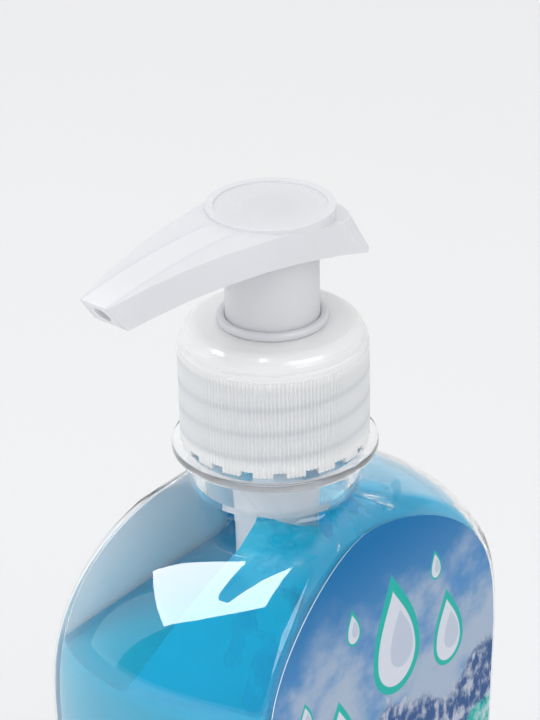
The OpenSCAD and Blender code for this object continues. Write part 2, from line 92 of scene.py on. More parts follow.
@dataclass(frozen=True)
class BodyForm:
    """Sections of the blown body, by the same rules as the solids."""

    height: float = 120.5
    side: float = 38.3
    panel: float = 32.5
    half_depth: float = 21.8
    wall: float = 0.9
    side_taper: float = 5.5
    base_round: float = 5.0
    base_recess: float = 1.6
    stand_inset: float = 9.0
    blend: float = 3.5
    bulge_drop: float = 23.6
    ridge_drop: float = 32.1
    fillet: float = 1.1
    fillet_share: float = 0.4
    side_arch: Point = (2.23, 0.66)
    side_over: float = 1.0
    panel_arch: Point = (2.5, 0.72)
    panel_over: float = 0.5
    label_arch: Point = (2.5, 0.576)
    taper_power: float = 1.4
    panel_taper: float = 0.8
    depth_taper: float = 0.25
    hollow: float = 6.2
    hollow_fall: float = 4.5
    lean: float = 1.8
    lean_drop: float = 35.0
    least_bulge: float = 0.4
    steps: tuple[int, int, int] = (12, 8, 20)

    @property
    def bulge_z(self) -> float:
        """Height at which the sides are widest."""
        return self.height - self.bulge_drop

    @property
    def ridge_z(self) -> float:
        """Height at which the ridges of the panel begin to draw in."""
        return self.height - self.ridge_drop

    @staticmethod
    def arch(z: float, middle: float, top: float, powers: Point) -> float:
        """Share of the full width at a height.

        Args:
            z: The height.
            middle: Height up to which the width is full.
            top: Height at which the arch closes.
            powers: How square the arch is along and across.

        Returns:
            The share, from 1 at the middle down to 0 at the top.
        """
        if z <= middle:
            return 1.0
        return max(0.0, 1 - ((z - middle) / (top - middle)) ** powers[0]) ** powers[1]

    def taper(self, z: float) -> float:
        """How far the sides have drawn in below the bulge."""
        return self.side_taper * clamp((self.bulge_z - z) / self.bulge_z) ** self.taper_power

    def side_width(self, z: float) -> float:
        """Half width of the body at height z."""
        arch = self.arch(z, self.bulge_z, self.height + self.side_over, self.side_arch)
        return self.side * arch - self.taper(z)

    def panel_width(self, z: float) -> float:
        """Half distance between the two ridges at height z."""
        arch = self.arch(z, self.ridge_z, self.height + self.panel_over, self.panel_arch)
        return self.panel * arch - self.taper(z) * self.panel_taper

    def depth(self, z: float) -> float:
        """Half depth of the body at height z."""
        drop = self.height - z
        return (self.half_depth - self.hollow * math.exp(-drop / self.hollow_fall)
                - self.lean * max(0.0, 1 - drop / self.lean_drop) - self.depth_taper * self.taper(z))

    def quarter(self, z: float, inset: float, front: int, ridge: int, side: int) -> list[Point]:
        """Points of a quarter section, from the middle of the front to the middle of the side.

        Args:
            z: Height of the section.
            inset: How far the section is drawn in from the outer skin.
            front: Number of steps along the flat front.
            ridge: Number of steps round the ridge.
            side: Number of steps along the arc of the side.

        Returns:
            The points as pairs of x and depth.
        """
        w = self.side_width(z) - inset
        h = self.panel_width(z) * (1 - inset / self.panel)
        d = self.depth(z) - inset
        s = max(w - h, self.least_bulge)
        r = (d * d + s * s) / (2 * s)
        f = min(self.fillet, self.fillet_share * h)
        end = math.atan2(d, r - s) - f / r
        flat = w - s - f
        start = (w - r + r * math.cos(end), r * math.sin(end))
        points = [(flat * k / front, d) for k in range(front)]
        for k in range(ridge):
            t = k / ridge
            points.append(tuple((1 - t) ** 2 * a + 2 * t * (1 - t) * b + t * t * c
                                for a, b, c in zip((flat, d), (w - s, d), start)))
        for k in range(side + 1):
            a = end * (1 - k / side)
            points.append((w - r + r * math.cos(a), r * math.sin(a)))
        return points

    def section(self, z: float, inset: float, at: Optional[float] = None) -> list[Point]:
        """Whole section, counted round from the middle of the front.

        Args:
            z: Height whose section is taken.
            inset: How far it is drawn in.
            at: Height at which it lies, if not z.

        Returns:
            The points of the section.
        """
        q = self.quarter(z, inset, *self.steps)
        n = len(q) - 1
        half = q + [(x, -y) for x, y in q[n - 1::-1]]
        ring = [(x, -y) for x, y in half] + [(-x, -y) for x, y in half[-2:0:-1]]
        return [(x, y, z if at is None else at) for x, y in ring]

    def neck_share(self, z: float) -> float:
        """Share of the neck's circle in the blend at height z."""
        return smooth((z - self.height + self.blend) / self.blend)

    def blended(self, z: float, inset: float, radius: float) -> list[Point]:
        """Section that turns into a circle near the neck.

        Args:
            z: Height of the section.
            inset: How far it is drawn in.
            radius: Radius of the circle.

        Returns:
            The points of the section.
        """
        share = self.neck_share(z)
        ring = self.section(z, inset)
        return [tuple(mix(a, b, share) for a, b in zip(p, c))
                for p, c in zip(ring, circle(radius, z, len(ring)))]


def circle(radius: Union[float, Callable[[float], float]], z: float, count: int) -> list[Point]:
    """Ring of points counted round from the front.

    Args:
        radius: Radius, or a function that gives it from the angle.
        z: Height of the ring.
        count: Number of points.

    Returns:
        The points.
    """
    ring = []
    for i in range(count):
        a = TURN * i / count - TURN / 4
        r = radius(a) if callable(radius) else radius
        ring.append((r * math.cos(a), r * math.sin(a), z))
    return ring


@dataclass(frozen=True)
class Thread:
    """Helical ridge round the axis, with ends that run out."""

    pitch: float = 4.2
    start_z: float = 133.85
    turns: float = 1.9
    height: float = 1.15
    crest: float = 0.8
    root: float = 1.9
    start_angle: float = -7.11
    run_out: float = 0.06

    def lift(self, angle: float, z: float) -> float:
        """Height of the ridge above its cylinder.

        Args:
            angle: Angle round the axis in radians.
            z: Height along the axis.

        Returns:
            The height of the ridge there.
        """
        part = (angle - self.start_angle) / TURN
        along = part + round((z - self.start_z) / self.pitch - part)
        away = abs(z - self.start_z - along * self.pitch) * 2
        flank = clamp((self.root - away) / (self.root - self.crest))
        ends = smooth(along / self.run_out) * smooth((self.turns - along) / self.run_out)
        return self.height * smooth(flank) * ends


class Skin:
    """Mesh that grows ring by ring with the extrude operator."""

    def __init__(self, count: int) -> None:
        """Starts with one open ring.

        Args:
            count: Number of points of every ring.
        """
        self.bm = bmesh.new()
        self.ring = list(bmesh.ops.create_circle(self.bm, segments=count, radius=1.0)["verts"])
        self.first = list(self.ring)
        self.started = False

    def _edges(self, ring: Sequence[bmesh.types.BMVert]) -> list[bmesh.types.BMEdge]:
        """Edges between neighbours of a ring."""
        return [self.bm.edges.get((v, ring[i - 1])) for i, v in enumerate(ring)]

    def to(self, points: Iterable[Point]) -> "Skin":
        """Grows the skin by a ring.

        Args:
            points: Where the points of the ring lie.

        Returns:
            The skin.
        """
        if self.started:
            made = bmesh.ops.extrude_edge_only(self.bm, edges=self._edges(self.ring))["geom"]
            fresh = {v for v in made if isinstance(v, bmesh.types.BMVert)}
            self.ring = [next(e.other_vert(v) for e in v.link_edges if e.other_vert(v) in fresh)
                         for v in self.ring]
        for vertex, point in zip(self.ring, points):
            vertex.co = point
        self.started = True
        return self

    def close(self, joined: bool = False) -> bmesh.types.BMesh:
        """Closes the skin and turns its faces outwards.

        Args:
            joined: Joins the last ring to the first, where both ends otherwise get a fan.

        Returns:
            The closed mesh.
        """
        if joined:
            bmesh.ops.bridge_loops(self.bm, edges=self._edges(self.first) + self._edges(self.ring))
        for ring in () if joined else (self.first, self.ring):
            face = bmesh.ops.contextual_create(self.bm, geom=self._edges(ring))["faces"]
            bmesh.ops.poke(self.bm, faces=face)
        bmesh.ops.recalc_face_normals(self.bm, faces=self.bm.faces)
        if self.bm.calc_volume(signed=True) < 0:
            bmesh.ops.reverse_faces(self.bm, faces=self.bm.faces)
        return self.bm


def finished(bm: bmesh.types.BMesh, name: str, sharp: float = 35.0) -> bpy.types.Object:
    """Object from a mesh in millimetres.

    Args:
        bm: The mesh, which is used up.
        name: Name of the object.
        sharp: Angle in degrees past which an edge isn't smooth.

    Returns:
        The object.
    """
    bmesh.ops.scale(bm, vec=(METRE,) * 3, verts=bm.verts)
    for face in bm.faces:
        face.smooth = True
    for edge in bm.edges:
        if len(edge.link_faces) == 2 and edge.calc_face_angle(0) > math.radians(sharp):
            edge.smooth = False
    mesh = bpy.data.meshes.new(name)
    bm.to_mesh(mesh)
    bm.free()
    piece = bpy.data.objects.new(name, mesh)
    bpy.context.scene.collection.objects.link(piece)
    return piece


def placed(piece: bpy.types.Object, body: Body, slot: Slot, *nodes: str) -> bpy.types.Object:
    """Rides a piece on its body and hides what it stands for.

    Args:
        piece: The new piece.
        body: Body that it moves with.
        slot: Its material slot; not used.
        nodes: Nodes that it stands for.

    Returns:
        The piece.
    """
    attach(piece, body.value)
    if nodes:
        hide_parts(*nodes)
    LOG.info("%s rides on %s", piece.name, body.value)
    return piece


def softened(node: str, name: str, width: float, segments: int = 3) -> bpy.types.Object:
    """Copy of a node's mesh with its edges rounded.

    Args:
        node: Name of the node that is copied.
        name: Name of the new piece.
        width: Width of the rounding in millimetres.
        segments: Number of faces round each edge.

    Returns:
        The new piece.
    """
    bm = bmesh.new()
    bm.from_mesh(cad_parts[node].data)
    bmesh.ops.remove_doubles(bm, verts=bm.verts, dist=WELD * METRE)
    bmesh.ops.dissolve_limit(bm, angle_limit=math.radians(FLAT_DEGREES), verts=bm.verts, edges=bm.edges)
    bmesh.ops.scale(bm, vec=(1 / METRE,) * 3, verts=bm.verts)
    piece = finished(bm, name, 28)
    bevel = piece.modifiers.new("edge_rounding", "BEVEL")
    bevel.width = width * METRE
    bevel.segments = segments
    bevel.limit_method = "ANGLE"
    bevel.angle_limit = math.radians(35)
    bevel.harden_normals = True
    bevel.use_clamp_overlap = True
    return piece


class Value:
    """Shader socket that adds Math nodes when it is used in an expression."""

    def __init__(self, tree: "Tree", socket: bpy.types.NodeSocket) -> None:
        """Wraps an output socket of a tree."""
        self.tree = tree
        self.socket = socket

    def math(self, operation: str, *others: Number, flipped: bool = False) -> "Value":
        """Adds a Math node.

        Args:
            operation: Name of the operation.
            others: The other operands.
            flipped: Puts this socket after the first of the others.

        Returns:
            The result of the node.
        """
        operands = [self, *others]
        if flipped:
            operands[0], operands[1] = operands[1], operands[0]
        node = self.tree.add("ShaderNodeMath", {"operation": operation}, dict(enumerate(operands)))
        return Value(self.tree, node.outputs[0])

    def __add__(self, other: Number) -> "Value":
        """Sum."""
        return self.math("ADD", other)

    __radd__ = __add__

    def __mul__(self, other: Number) -> "Value":
        """Product."""
        return self.math("MULTIPLY", other)

    __rmul__ = __mul__

    def __sub__(self, other: Number) -> "Value":
        """Difference."""
        return self.math("SUBTRACT", other)

    def __rsub__(self, other: Number) -> "Value":
        """Difference from a number."""
        return self.math("SUBTRACT", other, flipped=True)

    def __truediv__(self, other: Number) -> "Value":
        """Quotient."""
        return self.math("DIVIDE", other)

    def __pow__(self, other: Number) -> "Value":
        """Power."""
        return self.math("POWER", other)

    def __abs__(self) -> "Value":
        """Size without its sign."""
        return self.math("ABSOLUTE")

    def sine(self) -> "Value":
        """Sine."""
        return self.math("SINE")

    def root(self) -> "Value":
        """Square root."""
        return self.math("SQRT")

    def least(self, other: Number) -> "Value":
        """The lesser of two values."""
        return self.math("MINIMUM", other)

    def most(self, other: Number) -> "Value":
        """The greater of two values."""
        return self.math("MAXIMUM", other)

    def step(self, low: float, high: float) -> "Value":
        """Smooth step.

        Args:
            low: Value at which the step is 0.
            high: Value at which it is 1, above low or below it.

        Returns:
            The step.
        """
        start, end = (0.0, 1.0) if low < high else (1.0, 0.0)
        node = self.tree.add("ShaderNodeMapRange", {"interpolation_type": "SMOOTHSTEP"},
                             {0: self, 1: min(low, high), 2: max(low, high), 3: start, 4: end})
        return Value(self.tree, node.outputs[0])


class Tree:
    """Node tree of a material or a world."""

    def __init__(self, tree: bpy.types.NodeTree) -> None:
        """Takes the tree as it is."""
        self.tree = tree

    def add(self, kind: str, settings: Optional[dict] = None,
            inputs: Optional[dict] = None) -> bpy.types.Node:
        """Adds a node.

        Args:
            kind: Type of the node.
            settings: Attributes that are set first.
            inputs: Values or links of its sockets, by name or number.

        Returns:
            The new node.
        """
        node = self.tree.nodes.new(kind)
        for key, value in (settings or {}).items():
            setattr(node, key, value)
        for key, value in (inputs or {}).items():
            if isinstance(value, Value):
                value = value.socket
            if isinstance(value, bpy.types.NodeSocket):
                self.tree.links.new(value, node.inputs[key])
            else:
                node.inputs[key].default_value = value
        return node


class Paint(Tree):
    """Node tree of one material."""

    def __init__(self, name: str) -> None:
        """Starts an empty tree with an output.

        Args:
            name: Name of the material.
        """
        self.material = bpy.data.materials.new(name)
        self.material.use_nodes = True
        super().__init__(self.material.node_tree)
        self.tree.nodes.clear()
        self.output = self.add("ShaderNodeOutputMaterial")

    def place(self) -> tuple[Value, Value, Value]:
        """Object coordinates in millimetres."""
        where = self.add("ShaderNodeTexCoord").outputs["Object"]
        parts = self.add("ShaderNodeSeparateXYZ", inputs={0: where}).outputs
        return tuple(Value(self, p) * (1 / METRE) for p in parts)

    def noise(self, scale: float, detail: float = 3.0, rough: float = 0.55,
              stretch: Point = (1, 1, 1)) -> Value:
        """Noise on object coordinates.

        Args:
            scale: Features per millimetre.
            detail: Number of finer layers.
            rough: Strength of each finer layer.
            stretch: Share of the scale along each axis.

        Returns:
            The noise, between 0 and 1.
        """
        where = self.add("ShaderNodeTexCoord").outputs["Object"]
        mapped = self.add("ShaderNodeMapping", inputs={0: where, 3: [s / METRE for s in stretch]})
        node = self.add("ShaderNodeTexNoise", inputs={"Vector": mapped.outputs[0], "Scale": scale,
                                                      "Detail": detail, "Roughness": rough})
        return Value(self, node.outputs["Fac"])

    def blend(self, share: Number, low: object, high: object) -> bpy.types.NodeSocket:
        """Mix of two colours."""
        node = self.add("ShaderNodeMix", {"data_type": "RGBA"}, {0: share, 6: low, 7: high})
        return node.outputs[2]

    def bump(self, height: Value, depth: float) -> bpy.types.NodeSocket:
        """Normal from a height between 0 and 1, whose full depth is in millimetres."""
        inputs = {"Strength": 1.0, "Distance": depth * METRE, "Height": height}
        return self.add("ShaderNodeBump", inputs=inputs).outputs[0]

    def principled(self, **inputs: object) -> bpy.types.NodeSocket:
        """Principled shader, with sockets named in words joined by underscores."""
        named = {key.replace("_", " "): value for key, value in inputs.items()}
        return self.add("ShaderNodeBsdfPrincipled", inputs=named).outputs[0]

    def mixed(self, share: Number, low: bpy.types.NodeSocket,
              high: bpy.types.NodeSocket) -> bpy.types.NodeSocket:
        """Mix of two shaders."""
        return self.add("ShaderNodeMixShader", inputs={0: share, 1: low, 2: high}).outputs[0]

    def lamps_through(self, surface: bpy.types.NodeSocket, colour: Point) -> bpy.types.NodeSocket:
        """Lets the rays from lamps pass a clear surface.

        Args:
            surface: Shader of the surface.
            colour: Tint of the light that passes.

        Returns:
            The mix of both.
        """
        clear = self.add("ShaderNodeBsdfTransparent", inputs={0: (*colour, 1)}).outputs[0]
        ray = self.add("ShaderNodeLightPath").outputs["Is Shadow Ray"]
        return self.mixed(Value(self, ray), surface, clear)

    def show(self, surface: bpy.types.NodeSocket) -> bpy.types.Material:
        """Ends the tree with a surface and returns the material."""
        self.tree.links.new(surface, self.output.inputs[0])
        return self.material


@dataclass(frozen=True)
class ClearPlastic:
    """Clear plastic with faint ripples from the mould.

    The thin wall of the body bends light very little, so it takes a low refraction under a glossy coat.
    """

    name: str = "clear_wall"
    refraction: float = 1.03
    coat: float = 1.0
    ripple: float = 0.06
    lamp_share: float = 0.95
    bloom: float = 0.0

    def make(self) -> bpy.types.Material:
        """Builds the material."""
        paint = Paint(self.name)
        ripples = paint.noise(0.09, 2.0, 0.4, (1, 1, 0.6))
        haze = paint.noise(0.5, 2.0)
        normal = paint.bump(ripples, self.ripple)
        surface = paint.principled(Base_Color=(1, 1, 1, 1), Roughness=haze * 0.02, IOR=self.refraction,
                                   Transmission_Weight=1.0, Coat_Weight=self.coat, Coat_Roughness=0.01,
                                   Coat_IOR=1.5, Normal=normal)
        if self.bloom:
            white = paint.add("ShaderNodeBsdfDiffuse", inputs={0: (0.95, 0.95, 0.96, 1)}).outputs[0]
            surface = paint.mixed(self.bloom, surface, white)
        return paint.show(paint.lamps_through(surface, (self.lamp_share,) * 3))


@dataclass(frozen=True)
class SoapLiquid:
    """Cyan-blue gel, nearly opaque in bulk and clearer where a film of it clings to the wall."""

    colour: Point = (0.0, 0.46, 0.66, 1)
    shade: Point = (0.0, 0.41, 0.61, 1)
    clear_tint: Point = (0.15, 0.80, 0.96, 1)
    lamp_colour: Point = (0.45, 0.80, 0.95)
    refraction: float = 1.34
    level: float = 97.0
    body: float = 0.88
    film_body: float = 0.5
    fold_gap: float = 0.3
    inner_light: float = 0.25

    def make(self) -> bpy.types.Material:
        """Builds the material."""
        paint = Paint("liquid")
        _, _, z = paint.place()
        depth = paint.noise(0.04, 2.0, 0.4)
        colour = paint.blend(depth.step(0.3, 0.7), self.colour, self.shade)
        folds = paint.noise(0.10, 3.0, 0.6, (1, 1, 0.35))
        above = z.step(self.level + 0.6, self.level + 3.0)
        thin = (self.body - self.film_body) + folds.step(0.5, 0.62) * self.fold_gap
        thick = self.body - above * thin
        waves = paint.bump(folds, 0.25)
        clear = paint.principled(Base_Color=self.clear_tint, Roughness=0.02, IOR=self.refraction,
                                 Transmission_Weight=1.0, Normal=waves)
        gel = paint.principled(Base_Color=colour, Roughness=0.12, IOR=self.refraction,
                               Specular_IOR_Level=0.1, Normal=waves)
        through = paint.add("ShaderNodeBsdfTranslucent", inputs={0: self.colour}).outputs[0]
        surface = paint.mixed(thick, clear, paint.mixed(self.inner_light, gel, through))
        return paint.show(paint.lamps_through(surface, self.lamp_colour))


@dataclass(frozen=True)
class MilkyPlastic:
    """Translucent moulded plastic that lets light and blurred shapes through, and can carry painted light and
    shade over the nozzle tube and the thread that show through it.
    """

    name: str = "milky_plastic"
    colour: Point = (0.90, 0.905, 0.93, 1)
    clearness: float = 0.12
    haze: float = 0.28
    glow: float = 0.3
    grain: float = 0.002
    thread_shade: float = 0.0
    thread_foot: float = 131.5
    skirt_low: float = 130.0
    skirt_head: Point = (144.6, 143.2)
    tube_half: float = 0.0
    tube_turn: float = -4.9
    tube_start: float = -9.0
    tube_full: float = -13.0

    def _tube(self, paint: Paint, colour: bpy.types.NodeSocket) -> bpy.types.NodeSocket:
        """Adds painted light for the nozzle tube that shows through the head: a paler painted stripe with
        darker painted shade lines along its edges.

        Args:
            paint: Tree of the material.
            colour: Colour of the head.

        Returns:
            The colour with the painted light and shade of the tube.
        """
        x, y, _ = paint.place()
        turn = math.radians(self.tube_turn)
        along = x * math.cos(turn) + y * math.sin(turn)
        across = abs(y * math.cos(turn) - x * math.sin(turn))
        there = along.step(self.tube_start, self.tube_full)
        # Painted light: a paler stripe over the nozzle tube inside the head, and darker painted shade lines
        # along its edges.
        painted_tube_light = across.step(self.tube_half, self.tube_half - 0.6) * there
        painted_edge_shade = abs(across - self.tube_half).step(0.5, 0.1) * there
        colour = paint.blend(painted_tube_light * 0.45, colour, (0.97, 0.972, 0.975, 1))
        return paint.blend(painted_edge_shade * 0.35, colour, (0.70, 0.71, 0.75, 1))

    def _thread(self, paint: Paint, colour: bpy.types.NodeSocket) -> bpy.types.NodeSocket:
        """Adds painted shade over the skirt, darker painted shadow lines along the thread that shows through
        it, and paler painted highlight lines between them.

        Args:
            paint: Tree of the material.
            colour: Colour of the closure.

        Returns:
            The colour with the painted shade, shadow lines and highlight lines.
        """
        x, y, z = paint.place()
        turns = (z - self.thread_foot) / Thread.pitch - y.math("ARCTAN2", x) / TURN
        away = abs(turns.math("FRACT") - 0.5)
        skirt = z.step(self.skirt_low, self.thread_foot) * z.step(*self.skirt_head)
        shade = skirt * self.thread_shade
        # Painted shade over the whole skirt.
        colour = paint.blend(shade, colour, (0.62, 0.66, 0.70, 1))
        # Darker painted shadow lines along the thread inside.
        colour = paint.blend(away.step(0.22, 0.0) * shade, colour, (0.50, 0.54, 0.58, 1))
        # Paler painted highlight lines between the shadow lines.
        return paint.blend(away.step(0.30, 0.46) * shade * 0.6, colour, (1.0, 1.0, 1.0, 1))

    def make(self) -> bpy.types.Material:
        """Builds the material."""
        paint = Paint(self.name)
        flow = paint.noise(0.05, 1.0, 0.4, (1, 1, 0.5))
        grain = paint.noise(1.6, 2.0)
        cool = tuple(c * 0.985 for c in self.colour[:3]) + (1,)
        colour = paint.blend(flow.step(0.35, 0.7), self.colour, cool)
        # Painted light and shade for the nozzle tube and for the thread, where these are asked for.
        if self.tube_half:
            colour = self._tube(paint, colour)
        if self.thread_shade:
            colour = self._thread(paint, colour)
        normal = paint.bump(grain, self.grain)
        body = paint.principled(Base_Color=colour, Roughness=self.haze + (flow - 0.5) * 0.1, IOR=1.49,
                                Transmission_Weight=self.clearness, Normal=normal)
        through = paint.add("ShaderNodeBsdfTranslucent", inputs={0: self.colour, "Normal": normal}).outputs[0]
        return paint.show(paint.mixed(self.glow, body, through))


@dataclass(frozen=True)
class SealPlastic:
    """Soft white plastic of the seals."""

    colour: Point = (0.86, 0.86, 0.83, 1)

    def make(self) -> bpy.types.Material:
        """Builds the material."""
        paint = Paint("seal_plastic")
        cloud = paint.noise(0.8, 3.0)
        darker = tuple(c * 0.94 for c in self.colour[:3]) + (1,)
        return paint.show(paint.principled(Base_Color=paint.blend(cloud, self.colour, darker),
                                           Roughness=0.5 + cloud * 0.2, Normal=paint.bump(cloud, 0.01)))


@dataclass(frozen=True)
class BrightSteel:
    """Drawn stainless steel with fine lines along the wire."""

    colour: Point = (0.70, 0.71, 0.73, 1)

    def make(self) -> bpy.types.Material:
        """Builds the material."""
        paint = Paint("steel")
        lines = paint.noise(2.5, 3.0, 0.6, (1, 1, 4))
        return paint.show(paint.principled(Base_Color=self.colour, Metallic=1.0,
                                           Roughness=0.22 + lines * 0.16, Normal=paint.bump(lines, 0.004)))


@dataclass(frozen=True)
class LabelPrint:
    """Printed film: a blue sky that pales downwards, waves in teal and white, and drops."""

    deep: Point = (0.0, 0.140, 0.360, 1)
    sky: Point = (0.060, 0.225, 0.480, 1)
    pale: Point = (0.340, 0.420, 0.540, 1)
    teal: Point = (0.000, 0.400, 0.350, 1)
    silver: Point = (0.600, 0.630, 0.710, 1)
    navy: Point = (0.015, 0.075, 0.230, 1)
    sky_fade: Point = (116.0, 96.0)
    mist_fade: Point = (114.0, 98.0)
    mist_fall: Point = (112.0, 74.0)
    seas: tuple[Point, ...] = ((82.0, 9.0), (70.0, 5.0))
    drops: tuple[Point, ...] = ((3.0, 93.0, 6.6), (-13.0, 84.0, 4.0), (17.5, 88.5, 4.4),
                                (-8.0, 102.5, 2.0), (15.0, 103.0, 1.7), (-21.5, 93.0, 1.9))
    drop_height: float = 2.3

    def _drop(self, across: Value, up: Value, radius: float) -> Value:
        """Falling drop, round below and drawn to a point above.

        Args:
            across: Distance from its middle line.
            up: Height above the middle of its bowl.
            radius: Radius of its bowl.

        Returns:
            The share of the drop, from 0 outside to 1 inside.
        """
        point = (up / (radius * self.drop_height)).most(0.0).least(1.0)
        bowl = (up / radius).least(0.0).most(-1.0)
        half = (1.0 - point * point) ** 1.25 * (1.0 - bowl * bowl).root() * radius
        return (abs(across) - half).step(0.0, -0.25)

    def make(self) -> bpy.types.Material:
        """Builds the material of the printed side."""
        paint = Paint("label_print")
        x, _, z = paint.place()
        cloud = paint.noise(0.075, 4.0, 0.55, (1, 1, 1.3))
        ground = paint.blend(z.step(*self.sky_fade), self.deep, self.sky)
        mist = (cloud + z.step(*self.mist_fall) * 0.3).step(0.50, 0.80) * z.step(*self.mist_fade)
        ground = paint.blend(mist, ground, self.pale)
        spray = paint.noise(0.40, 3.0, 0.55, (1.6, 1, 1))
        swell = (x * 0.21 + 1.2).sine() * 3.0 + (x * 0.5 + 2.0).sine() * 1.1
        for (lift, rough), water in zip(self.seas, (self.navy, self.teal)):
            sea = (spray * rough + swell + (lift - rough / 2) - z).step(0.0, 1.6)
            foam = spray.step(0.42, 0.68) * 0.7
            ground = paint.blend(sea, ground, paint.blend(foam, water, self.silver))
        for cx, cz, radius in self.drops:
            across, up = x - cx, z - cz
            inner = radius * 0.80
            ground = paint.blend(self._drop(across, up, radius), ground, self.teal)
            ground = paint.blend(self._drop(across, up, inner), ground, self.silver)
            glint = self._drop(across - radius * 0.22, up - radius * 0.1, inner * 0.62)
            ground = paint.blend(glint * 0.55, ground, self.pale)
        grain = paint.noise(1.2, 2.0)
        surface = paint.principled(Base_Color=ground, Roughness=0.36 + grain * 0.08, IOR=1.45,
                                   Specular_IOR_Level=0.25, Normal=paint.bump(grain, 0.004))
        return paint.show(surface)


@dataclass(frozen=True)
class LabelBack:
    """Pale back of the film, as it shows through the bottle."""

    colour: Point = (0.86, 0.90, 0.93, 1)
    paler: Point = (0.90, 0.93, 0.95, 1)

    def make(self) -> bpy.types.Material:
        """Builds the material of the glued side."""
        paint = Paint("label_back")
        cloud = paint.noise(0.06, 3.0)
        colour = paint.blend(cloud.step(0.35, 0.7), self.colour, self.paler)
        return paint.show(paint.principled(Base_Color=colour, Roughness=0.55))


